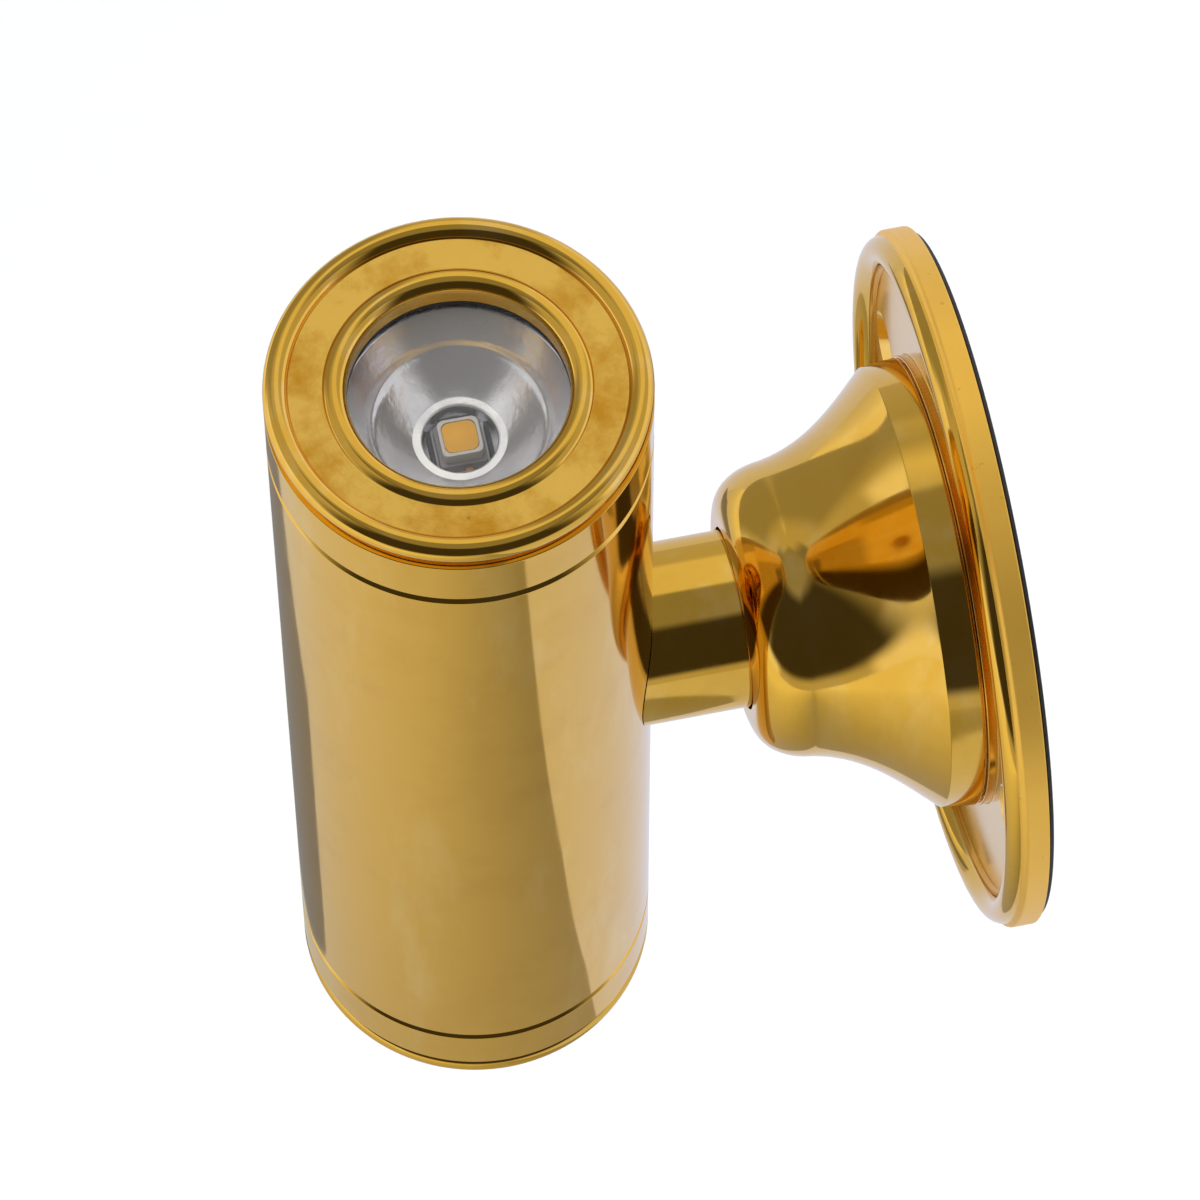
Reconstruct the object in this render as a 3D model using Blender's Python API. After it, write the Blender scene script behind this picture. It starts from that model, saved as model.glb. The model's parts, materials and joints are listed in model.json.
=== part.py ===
"""Polished brass up-and-down wall light, built as separate pieces.

A round wall plate carries a bell-shaped cup. A short arm turns in the cup's
neck and holds an upright tube. Each end of the tube has a lamp: heat sink,
board, LED, reflector, clear lens and a screw-on brass bezel.

Frame: metres, +Z up. The origin is the centre of the face that meets the
wall, on the arm's axis. The wall lies behind the plane y = 0, and the light
stands out from it along -Y. Sizes below are in millimetres.
"""
import math

import bmesh
import bpy
from mathutils import Matrix, Vector

MM = 0.001
GAP = 0.3                    # clearance between neighbouring pieces

FINE = 36                    # sides of the large round pieces
SMALL = 24                   # sides of the smaller ones
TINY = 12                    # sides of screws and leads

# Driving sizes
BODY_R = 20.0                # outside of the tube and of the bezels
BODY_OUT = 56.4              # wall to the tube's axis
SEAM_H = 53.2                # tube's middle to the seam under each bezel
ARM_R = 9.85
PLATE_R = 38.9
FIXING_SPACING = 60.3        # between the two wall screws
FIXING_HOLE_R = 2.25
COUNTERSINK_R = 4.0
CUP_FRONT = 26.8             # wall to the cup's front face

# Wall plate, as distances from the wall
PAD_T = 0.4
PAD_INNER_R = 34.2
PLATE_BACK = 0.6
PLATE_FLOOR = 2.95
BEAD_R = 36.7
BEAD_D = 3.35
BEAD_MINOR = 1.7
SEAT_R = 25.05
SEAT_D = 3.65
SPIGOT_R = 23.2
SPIGOT_D = 5.5
WELL_R = 17.5
CABLE_HOLE_Z = -10.5
CABLE_HOLE_R = 5.3
GROMMET_BORE_R = 3.6
GROMMET_R = 5.0
GROMMET_FLANGE_R = 5.9
GROMMET_BACK = 0.7
GROMMET_FRONT = 4.3

# Screws from the plate into the cup, as distances from the wall
CUP_SCREW_CIRCLE = 20.3
CUP_SCREW_ANGLES = (90, 210, 330)
SCREW_HEAD_R = 2.7
SCREW_HEAD_BACK = 0.8
SCREW_HEAD_FRONT = 2.2
SCREW_THREAD_R = 1.25
SCREW_END = 8.2
COUNTERBORE_R = 3.1
COUNTERBORE_D = 2.5
SCREW_CLEARANCE_R = 1.7
TAPPED_R = 1.6
TAPPED_END = 8.6

# Cup, as distances from the wall
CUP_RIM_D = 4.35
CUP_RIM_R = 24.95
CUP_EDGE_D = 8.05
CUP_EDGE_R = 24.5
NECK_R = 12.2
NECK_BACK = 16.3
LIP_R = 10.15
LIP_D = 25.6
CUP_RIM_T = 1.45

# Swivel in the cup's neck, as distances from the wall
BUSH_BORE_R = 10.1
BUSH_FLANGE_R = 13.2
BUSH_R = 11.9
BUSH_BACK = 15.0
BUSH_STEP = 16.0
BUSH_FRONT = 24.0
SEAL_BACK = 24.3
SEAL_FRONT = 25.3
SEAL_BORE_R = 10.05
SLEEVE_R = 10.15             # bore of what slides over the arm
WASHER_BACK = 13.9
WASHER_FRONT = 14.7
WASHER_R = 12.8
STOP_PIN_CIRCLE = 14.4
STOP_PIN_R = 1.0
STOP_PIN_BACK = 12.2
STOP_PIN_FRONT = 18.3
STOP_FLANGE_R = 15.2         # the half of the stop ring that meets the pin
STOP_HUB_R = 12.4            # the half that passes it
STOP_BACK = 12.4
STOP_FRONT = 13.6
STOP_PLAY = 0.15             # between pin and ring at either limit, a quarter turn from rest
ARM_NUT_R = 15.4
ARM_NUT_BACK = 9.6
ARM_NUT_FRONT = 12.1

# Terminal block, as distances from the wall
BLOCK_WIDTH = 20.0
BLOCK_HEIGHT = 11.4
BLOCK_Z = 2.4
BLOCK_FRONT = 9.0
TERMINAL_X = 5.5
TERMINAL_Z = 4.2
TERMINAL_POCKET_R = 1.9
TERMINAL_POCKET_D = 6.0
TERMINAL_SCREW_R = 1.6
TERMINAL_SCREW_BACK = 6.3
TERMINAL_SCREW_FRONT = 8.4

# Arm, as distances from the wall
ARM_BACK = 9.2
ARM_BORE_R = 7.5
ARM_THREAD_R = 5.3
ARM_THREAD_D = 26.0
NIPPLE_R = 5.0
NIPPLE_BORE_R = 3.0
LEAD_R = 2.0
NIPPLE_BACK = 28.0
NIPPLE_FRONT = 46.5
SADDLE_SIDE = 14.0
SADDLE_BACK = 38.0
SADDLE_FRONT = 42.2
NIPPLE_NUT_R = 8.0
NIPPLE_NUT_BACK = 42.5
NIPPLE_NUT_FRONT = 45.3
LEAD_BACK = 9.5
LEAD_FRONT = 51.0

# Tube and what it holds, as heights from the tube's middle
SINK_R = 17.7
SINK_LOW = 40.3
SINK_TOP = 47.6
BORE_R = 17.0
END_BORE_R = 18.0
STEP_H = 40.0
GROOVE_DEPTH = 0.55          # half width and depth of the V groove at each seam
BOARD_LOW = 47.8
BOARD_TOP = 48.8
BOARD_SCREW_Y = 10.5
LED_LOW = 49.0
LED_TOP = 51.9
LED_SIDE = 5.0
PHOSPHOR_SIDE = 3.3
LED_POCKET_DEPTH = 0.5
PHOSPHOR_T = 0.35
WIRE_X = 9.5
WIRE_Y = -3.0
WIRE_HOLE_R = 1.8
WIRE_R = 0.55
WIRE_APART = 1.5
WIRE_LOW = 26.3
WIRE_TOP = 47.5
BOARD_R = 14.8
BOARD_SCREW_LOW = 44.0
BOARD_SCREW_TOP = 50.2
BOARD_SCREW_R = 1.1
BOARD_SCREW_HEAD_R = 2.1
BOARD_HOLE_R = 1.4
DRIVER_WIDTH = 21.0
DRIVER_DEPTH = 13.9
DRIVER_Y = -3.95
DRIVER_HALF = 26.0
STRIP_BACK = -12.5           # chassis strip, as places across the tube
STRIP_FRONT = -11.2
TAB_FRONT = -3.5
TAB_LOW = 38.3
TAB_TOP = 39.8
STRIP_HALF_WIDTH = 6.0
CHASSIS_SCREW_Y = -6.85
CHASSIS_SCREW_LOW = 36.4
CHASSIS_SCREW_TOP = 44.4
CHASSIS_SCREW_R = 1.2
CHASSIS_HEAD_R = 2.4
CHASSIS_HOLE_R = 1.6

# Bezel, as heights from the tube's middle
SKIRT_LOW = 48.4
SKIRT_R = 17.7
SKIRT_BORE_R = 15.3
BAND_BORE_LOW = 54.8
O_RING_GROOVE_R = 16.6
O_RING_GROOVE_LOW = 51.2
O_RING_GROOVE_TOP = 52.6
O_RING_R = 17.2
O_RING_H = 51.9
O_RING_MINOR = 0.48
UNDERCUT_H = 60.1
UNDERCUT_R = 19.15
RIM_R = 18.68
RIM_H = 62.0
RIM_MINOR = 1.32
FLOOR_H = 62.35
RING_R = 12.78
RING_H = 61.52
RING_MINOR = 1.38
WINDOW_R = 11.52
WINDOW_TOP = 61.9
LIP_LOW = 59.7
POCKET_R = 13.1
POCKET_LOW = 56.3
LENS_R = 12.8
LENS_LOW = 57.8
LENS_TOP = 58.85
LENS_SEAL_LOW = 59.0
LENS_SEAL_TOP = 59.55
CLIP_LOW = 56.6
CLIP_TOP = 57.6
CLIP_BORE_R = 12.2

# Reflector
NECK_INSIDE_R = 3.9
COLLAR_R = 4.9
BELL_R = 11.2
REFLECTOR_LOW = 49.1
COLLAR_H = 51.4
REFLECTOR_TOP = 57.5
REFLECTOR_T = 0.6
REFLECTOR_RIM_R = 11.8

WALL_AXIS = Matrix.Rotation(math.radians(90), 4, 'X')    # local +Z points away from the wall
UP = Matrix.Identity(4)
DOWN = Matrix.Rotation(math.radians(180), 4, 'X')


def clear_scene():
    for obj in list(bpy.data.objects):
        bpy.data.objects.remove(obj, do_unlink=True)


def material(name, colour, roughness, metallic, alpha=1.0):
    mat = bpy.data.materials.new(name)
    mat.use_nodes = True
    shader = mat.node_tree.nodes['Principled BSDF']
    shader.inputs['Base Color'].default_value = (*colour, 1.0)
    shader.inputs['Roughness'].default_value = roughness
    shader.inputs['Metallic'].default_value = metallic
    shader.inputs['Alpha'].default_value = alpha
    return mat


def empty(name, place, parent=None):
    obj = bpy.data.objects.new(name, None)
    bpy.context.collection.objects.link(obj)
    obj.parent = parent
    obj.location = Vector(place) * MM
    return obj


def arc(centre_r, centre_h, radius, start, end, steps):
    """Points of an arc in the (radius, height) plane, angles in degrees."""
    points = []
    for i in range(steps + 1):
        a = math.radians(start + (end - start) * i / steps)
        points.append((centre_r + radius * math.cos(a), centre_h + radius * math.sin(a)))
    return points


def bezier(p0, p1, p2, p3, steps):
    points = []
    for i in range(steps + 1):
        t = i / steps
        weights = ((1 - t) ** 3, 3 * t * (1 - t) ** 2, 3 * t * t * (1 - t), t ** 3)
        points.append(tuple(sum(w * p[k] for w, p in zip(weights, (p0, p1, p2, p3))) for k in (0, 1)))
    return points


def add_turned(bm, outline, segments, place=(0, 0, 0)):
    """Turn a closed (radius, height) outline round local Z; radius 0 closes on the axis."""
    rings = []
    for radius, height in outline:
        if radius < 1e-6:
            rings.append([bm.verts.new((place[0] * MM, place[1] * MM, (place[2] + height) * MM))])
            continue
        ring = []
        for i in range(segments):
            a = 2 * math.pi * i / segments
            ring.append(bm.verts.new(((place[0] + radius * math.cos(a)) * MM,
                                      (place[1] + radius * math.sin(a)) * MM,
                                      (place[2] + height) * MM)))
        rings.append(ring)
    faces = []
    for lower, upper in zip(rings, rings[1:] + rings[:1]):
        if len(lower) == 1 and len(upper) == 1:
            continue
        for i in range(segments):
            j = (i + 1) % segments
            corners = [lower[i % len(lower)], lower[j % len(lower)],
                       upper[j % len(upper)], upper[i % len(upper)]]
            faces.append(bm.faces.new(list(dict.fromkeys(corners))))
    return faces


def add_prism(bm, outline, low, high, place=(0, 0, 0)):
    """A straight prism on a closed (x, y) outline."""
    corners = [((place[0] + x) * MM, (place[1] + y) * MM) for x, y in outline]
    bottom = [bm.verts.new((x, y, (place[2] + low) * MM)) for x, y in corners]
    top = [bm.verts.new((x, y, (place[2] + high) * MM)) for x, y in corners]
    bm.faces.new(bottom)
    bm.faces.new(top)
    for i in range(len(outline)):
        j = (i + 1) % len(outline)
        bm.faces.new((bottom[i], bottom[j], top[j], top[i]))


def rectangle(width, depth, x=0.0, y=0.0):
    return [(x - width / 2, y - depth / 2), (x + width / 2, y - depth / 2),
            (x + width / 2, y + depth / 2), (x - width / 2, y + depth / 2)]


def polygon(radius, corners):
    return [(radius * math.cos(2 * math.pi * i / corners), radius * math.sin(2 * math.pi * i / corners))
            for i in range(corners)]


def disc(radius, low, high):
    return [(0, low), (radius, low), (radius, high), (0, high)]


def ring(inner, outer, low, high):
    return [(inner, low), (outer, low), (outer, high), (inner, high)]


def headed(head_r, head_start, head_end, thread_r, thread_end):
    """Outline of a screw whose head comes first."""
    return [(0, head_start), (head_r, head_start), (head_r, head_end),
            (thread_r, head_end), (thread_r, thread_end), (0, thread_end)]


def node(name, bm, mat, turn=UP, place=(0, 0, 0), parent=None):
    """Make an object of a bmesh whose faces all point outward."""
    bmesh.ops.recalc_face_normals(bm, faces=bm.faces)
    mesh = bpy.data.meshes.new(name)
    bm.to_mesh(mesh)
    bm.free()
    mesh.shade_smooth()
    mesh.set_sharp_from_angle(angle=math.radians(35))
    obj = bpy.data.objects.new(name, mesh)
    bpy.context.collection.objects.link(obj)
    obj.data.materials.append(mat)
    obj.parent = parent
    obj.matrix_local = Matrix.Translation(Vector(place) * MM) @ turn
    return obj


def turned(name, outline, mat, segments=32, **where):
    bm = bmesh.new()
    add_turned(bm, outline, segments)
    return node(name, bm, mat, **where)


def cut(target, name, bm, operation='DIFFERENCE'):
    """Cut a target with a tool drawn in the target's own axes."""
    bmesh.ops.recalc_face_normals(bm, faces=bm.faces)
    mesh = bpy.data.meshes.new(name)
    bm.to_mesh(mesh)
    bm.free()
    tool = bpy.data.objects.new(name, mesh)
    bpy.context.collection.objects.link(tool)
    tool.parent = target.parent
    tool.location = target.location
    tool.rotation_euler = target.rotation_euler
    tool.hide_render = True
    tool.display_type = 'WIRE'
    modifier = target.modifiers.new(name, 'BOOLEAN')
    modifier.object = tool
    modifier.operation = operation
    modifier.solver = 'EXACT'


def on_circle(radius, angle):
    a = math.radians(angle)
    return (radius * math.cos(a), radius * math.sin(a), 0)


# ---------------------------------------------------------------- wall side

def wall_pad(mats):
    turned('wall_pad', ring(PAD_INNER_R, PLATE_R - 2 * GAP, 0, PAD_T), mats['rubber'], FINE, turn=WALL_AXIS)


def back_plate(mats):
    bead_outer = arc(BEAD_R, BEAD_D, BEAD_MINOR, 0, 194, 6)
    outline = [(0, PLATE_BACK), (PLATE_R, PLATE_BACK), (PLATE_R, BEAD_D - 0.1)]
    outline += bead_outer
    outline += [(SEAT_R, PLATE_FLOOR), (SEAT_R, SEAT_D), (SPIGOT_R, SEAT_D), (SPIGOT_R, SPIGOT_D),
                (WELL_R, SPIGOT_D), (WELL_R, PLATE_FLOOR), (0, PLATE_FLOOR)]
    plate = turned('back_plate', outline, mats['brass'], FINE, turn=WALL_AXIS)
    tools = bmesh.new()
    sink_depth = COUNTERSINK_R - FIXING_HOLE_R
    screw_hole = [(0, PLATE_BACK - 1), (FIXING_HOLE_R, PLATE_BACK - 1),
                  (FIXING_HOLE_R, PLATE_FLOOR - sink_depth), (COUNTERSINK_R, PLATE_FLOOR),
                  (COUNTERSINK_R, PLATE_FLOOR + 1), (0, PLATE_FLOOR + 1)]
    for side in (-1, 1):
        add_turned(tools, screw_hole, SMALL, (side * FIXING_SPACING / 2, 0, 0))
    add_turned(tools, disc(CABLE_HOLE_R, PLATE_BACK - 1, PLATE_FLOOR + 1), SMALL, (0, CABLE_HOLE_Z, 0))
    counterbore = [(0, PLATE_BACK - 1), (COUNTERBORE_R, PLATE_BACK - 1), (COUNTERBORE_R, COUNTERBORE_D),
                   (SCREW_CLEARANCE_R, COUNTERBORE_D), (SCREW_CLEARANCE_R, SPIGOT_D + 1), (0, SPIGOT_D + 1)]
    for angle in CUP_SCREW_ANGLES:
        add_turned(tools, counterbore, TINY, on_circle(CUP_SCREW_CIRCLE, angle))
    cut(plate, 'plate_holes', tools)


def cable_grommet(mats):
    flange = PLATE_FLOOR + GAP / 2
    outline = [(GROMMET_BORE_R, GROMMET_BACK), (GROMMET_R, GROMMET_BACK), (GROMMET_R, flange),
               (GROMMET_FLANGE_R, flange), (GROMMET_FLANGE_R, GROMMET_FRONT), (GROMMET_BORE_R, GROMMET_FRONT)]
    turned('cable_grommet', outline, mats['rubber'], SMALL, turn=WALL_AXIS, place=(0, 0, CABLE_HOLE_Z))


def cup_outline():
    """Outside: rim band, concave flare, rounded shoulder, front face. Inside: neck and wiring space."""
    flare = bezier((CUP_EDGE_R, CUP_EDGE_D), (21.9, 11.0), (17.5, 14.8), (16.45, 21.0), 6)
    shoulder = bezier((16.45, 21.0), (16.2, 23.4), (15.0, 26.6), (11.4, CUP_FRONT), 4)
    inside = [(LIP_R, CUP_FRONT), (LIP_R, LIP_D), (NECK_R, LIP_D), (NECK_R, NECK_BACK)]
    hollow = bezier((15.9, NECK_BACK), (16.4, 14.0), (18.2, 11.6), (19.9, 9.6), 4)
    rim_bore_r = CUP_RIM_R - CUP_RIM_T
    foot = [(17.2, 9.0), (17.2, SPIGOT_D + GAP), (rim_bore_r, SPIGOT_D + GAP), (rim_bore_r, CUP_RIM_D)]
    return [(CUP_RIM_R, CUP_RIM_D)] + flare + shoulder[1:] + inside + hollow[:3] + foot


def wall_cup(mats):
    cup = turned('wall_cup', cup_outline(), mats['brass'], FINE, turn=WALL_AXIS)
    tools = bmesh.new()
    for angle in CUP_SCREW_ANGLES:
        add_turned(tools, disc(TAPPED_R, SPIGOT_D - 1, TAPPED_END), TINY, on_circle(CUP_SCREW_CIRCLE, angle))
    pin_hole = disc(STOP_PIN_R + 0.35, NECK_BACK - 1, STOP_PIN_FRONT + GAP)
    add_turned(tools, pin_hole, TINY, on_circle(STOP_PIN_CIRCLE, -90))
    cut(cup, 'cup_holes', tools)


def cup_screws(mats):
    screw = headed(SCREW_HEAD_R, SCREW_HEAD_BACK, SCREW_HEAD_FRONT, SCREW_THREAD_R, SCREW_END)
    for number, angle in enumerate(CUP_SCREW_ANGLES, 1):
        x, z, _ = on_circle(CUP_SCREW_CIRCLE, angle)
        turned(f'cup_screw_{number}', screw, mats['steel'], TINY, turn=WALL_AXIS, place=(x, 0, z))


def stop_pin(mats):
    turned('stop_pin', disc(STOP_PIN_R, STOP_PIN_BACK, STOP_PIN_FRONT), mats['steel'], TINY, turn=WALL_AXIS,
           place=(0, 0, -STOP_PIN_CIRCLE))


def swivel_bush(mats):
    outline = [(BUSH_BORE_R, BUSH_BACK), (BUSH_FLANGE_R, BUSH_BACK), (BUSH_FLANGE_R, BUSH_STEP),
               (BUSH_R, BUSH_STEP), (BUSH_R, BUSH_FRONT), (BUSH_BORE_R, BUSH_FRONT)]
    turned('swivel_bush', outline, mats['bronze'], SMALL, turn=WALL_AXIS)


def neck_seal(mats):
    outline = ring(SEAL_BORE_R, BUSH_R, SEAL_BACK, SEAL_FRONT)
    turned('neck_seal', outline, mats['rubber'], SMALL, turn=WALL_AXIS)


def terminal_block(mats):
    block = bmesh.new()
    add_prism(block, rectangle(BLOCK_WIDTH, BLOCK_HEIGHT, 0, BLOCK_Z), PLATE_FLOOR + GAP, BLOCK_FRONT)
    obj = node('terminal_block', block, mats['nylon'], turn=WALL_AXIS)
    tools = bmesh.new()
    for side in (-1, 1):
        pocket = disc(TERMINAL_POCKET_R, TERMINAL_POCKET_D, BLOCK_FRONT + 1)
        add_turned(tools, pocket, TINY, (side * TERMINAL_X, TERMINAL_Z, 0))
    cut(obj, 'terminal_pockets', tools)
    for name, side in (('line', -1), ('neutral', 1)):
        turned(f'terminal_screw_{name}', disc(TERMINAL_SCREW_R, TERMINAL_SCREW_BACK, TERMINAL_SCREW_FRONT),
               mats['steel'], TINY, turn=WALL_AXIS, place=(side * TERMINAL_X, 0, TERMINAL_Z))


# ---------------------------------------------------------------- turning head

def arm_tube(mats, head):
    outline = [(ARM_BORE_R, ARM_BACK), (ARM_R, ARM_BACK), (ARM_R, 42.0), (ARM_THREAD_R, 42.0),
               (ARM_THREAD_R, ARM_THREAD_D), (ARM_BORE_R, ARM_THREAD_D)]
    where = dict(turn=WALL_AXIS, place=(0, BODY_OUT, 0), parent=head)
    arm = turned('arm_tube', outline, mats['brass'], FINE, **where)
    tool = bmesh.new()
    add_turned(tool, disc(BODY_R + GAP, -15, 15), 2 * FINE)
    bmesh.ops.rotate(tool, verts=tool.verts, matrix=Matrix.Rotation(math.radians(90), 3, 'X'))
    bmesh.ops.translate(tool, verts=tool.verts, vec=(0, 0, BODY_OUT * MM))
    cut(arm, 'arm_saddle', tool)


def swivel_hardware(mats, head):
    where = dict(turn=WALL_AXIS, place=(0, BODY_OUT, 0), parent=head)
    washer = ring(SLEEVE_R, WASHER_R, WASHER_BACK, WASHER_FRONT)
    turned('spring_washer', washer, mats['steel'], SMALL, **where)
    face = STOP_PIN_R + STOP_PLAY
    outer = math.degrees(math.asin(face / STOP_FLANGE_R))
    inner = math.degrees(math.asin(face / STOP_HUB_R))
    flange = arc(0, 0, STOP_FLANGE_R, outer, 180 - outer, 17)
    hub = arc(0, 0, STOP_HUB_R, 180 - inner, 360 + inner, 19)
    bm = bmesh.new()
    add_prism(bm, flange + hub, STOP_BACK, STOP_FRONT)
    stop = node('stop_ring', bm, mats['steel'], **where)
    bore = bmesh.new()
    add_turned(bore, disc(SLEEVE_R, STOP_BACK - 1, STOP_FRONT + 1), SMALL)
    cut(stop, 'stop_ring_bore', bore)
    bm = bmesh.new()
    add_prism(bm, polygon(ARM_NUT_R, 6), ARM_NUT_BACK, ARM_NUT_FRONT)
    nut = node('arm_nut', bm, mats['brass_plain'], **where)
    bore = bmesh.new()
    add_turned(bore, disc(SLEEVE_R, ARM_NUT_BACK - 1, ARM_NUT_FRONT + 1), SMALL)
    cut(nut, 'arm_nut_bore', bore)


def arm_fixing(mats, head):
    where = dict(turn=WALL_AXIS, place=(0, BODY_OUT, 0), parent=head)
    nipple = ring(NIPPLE_BORE_R, NIPPLE_R, NIPPLE_BACK, NIPPLE_FRONT)
    turned('arm_nipple', nipple, mats['steel'], SMALL, **where)
    bm = bmesh.new()
    add_prism(bm, rectangle(SADDLE_SIDE, SADDLE_SIDE), SADDLE_BACK, SADDLE_FRONT)
    washer = node('saddle_washer', bm, mats['steel'], **where)
    shape = bmesh.new()
    add_turned(shape, disc(BORE_R - GAP, -12, 12), 2 * FINE)
    bmesh.ops.rotate(shape, verts=shape.verts, matrix=Matrix.Rotation(math.radians(90), 3, 'X'))
    bmesh.ops.translate(shape, verts=shape.verts, vec=(0, 0, BODY_OUT * MM))
    cut(washer, 'washer_curve', shape, 'INTERSECT')
    hole = bmesh.new()
    add_turned(hole, disc(NIPPLE_R + GAP, SADDLE_BACK - 2, SADDLE_FRONT + 2), SMALL)
    cut(washer, 'washer_hole', hole)
    bm = bmesh.new()
    add_prism(bm, polygon(NIPPLE_NUT_R, 6), NIPPLE_NUT_BACK, NIPPLE_NUT_FRONT)
    nut = node('nipple_nut', bm, mats['steel'], **where)
    hole = bmesh.new()
    add_turned(hole, disc(NIPPLE_R + GAP, NIPPLE_NUT_BACK - 2, NIPPLE_NUT_FRONT + 2), SMALL)
    cut(nut, 'nipple_nut_bore', hole)


def body_tube(mats, head):
    end = SEAM_H - GAP / 2
    edge = BODY_R - GROOVE_DEPTH
    side = end - GROOVE_DEPTH
    outline = [(edge, -end), (BODY_R, -side), (BODY_R, side), (edge, end),
               (END_BORE_R, end), (END_BORE_R, STEP_H), (BORE_R, STEP_H),
               (BORE_R, -STEP_H), (END_BORE_R, -STEP_H), (END_BORE_R, -end)]
    tube = turned('body_tube', outline, mats['brass'], FINE, parent=head)
    tool = bmesh.new()
    add_turned(tool, disc(NIPPLE_R + GAP, 12, 25), SMALL)
    bmesh.ops.rotate(tool, verts=tool.verts, matrix=Matrix.Rotation(math.radians(-90), 3, 'X'))
    cut(tube, 'arm_hole', tool)


def supply_lead(mats, head):
    turned('supply_lead', disc(LEAD_R, LEAD_BACK, LEAD_FRONT), mats['cable'], TINY, turn=WALL_AXIS,
           place=(0, BODY_OUT, 0), parent=head)


def driver(mats, head):
    bm = bmesh.new()
    add_prism(bm, rectangle(DRIVER_WIDTH, DRIVER_DEPTH, 0, DRIVER_Y), -DRIVER_HALF, DRIVER_HALF)
    node('led_driver', bm, mats['black_case'], parent=head)
    profile = [(STRIP_BACK, -TAB_TOP), (TAB_FRONT, -TAB_TOP), (TAB_FRONT, -TAB_LOW), (STRIP_FRONT, -TAB_LOW),
               (STRIP_FRONT, TAB_LOW), (TAB_FRONT, TAB_LOW), (TAB_FRONT, TAB_TOP), (STRIP_BACK, TAB_TOP)]
    bm = bmesh.new()
    left = [bm.verts.new((-STRIP_HALF_WIDTH * MM, y * MM, z * MM)) for y, z in profile]
    right = [bm.verts.new((STRIP_HALF_WIDTH * MM, y * MM, z * MM)) for y, z in profile]
    bm.faces.new(left)
    bm.faces.new(right)
    for i in range(len(profile)):
        j = (i + 1) % len(profile)
        bm.faces.new((left[i], left[j], right[j], right[i]))
    strip = node('chassis_strip', bm, mats['aluminium'], parent=head)
    hole = bmesh.new()
    add_turned(hole, disc(CHASSIS_HOLE_R, -TAB_TOP - 5, TAB_TOP + 5), TINY, (0, CHASSIS_SCREW_Y, 0))
    cut(strip, 'chassis_holes', hole)
    screw = headed(CHASSIS_HEAD_R, CHASSIS_SCREW_LOW, TAB_LOW - GAP, CHASSIS_SCREW_R, CHASSIS_SCREW_TOP)
    for prefix, turn in (('upper', UP), ('lower', DOWN)):
        turned(prefix + '_chassis_screw', screw, mats['steel'], TINY, turn=turn,
               place=(0, CHASSIS_SCREW_Y, 0), parent=head)


# ---------------------------------------------------------------- one lamp end

def reflector_outline():
    """Neck round the LED, flat collar, then a parabolic bell with a rim."""
    depth = REFLECTOR_TOP - COLLAR_H
    rise = depth / (BELL_R ** 2 - COLLAR_R ** 2)
    bell = []
    for i in range(6):
        r = COLLAR_R + (BELL_R - COLLAR_R) * i / 5
        bell.append((r, COLLAR_H + rise * (r ** 2 - COLLAR_R ** 2)))
    back = [(r + REFLECTOR_T, h - REFLECTOR_T) for r, h in reversed(bell[1:])]
    return ([(NECK_INSIDE_R, REFLECTOR_LOW), (NECK_INSIDE_R, COLLAR_H)] + bell
            + [(REFLECTOR_RIM_R, REFLECTOR_TOP)] + back + [(COLLAR_R + REFLECTOR_T, REFLECTOR_LOW)])


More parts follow.
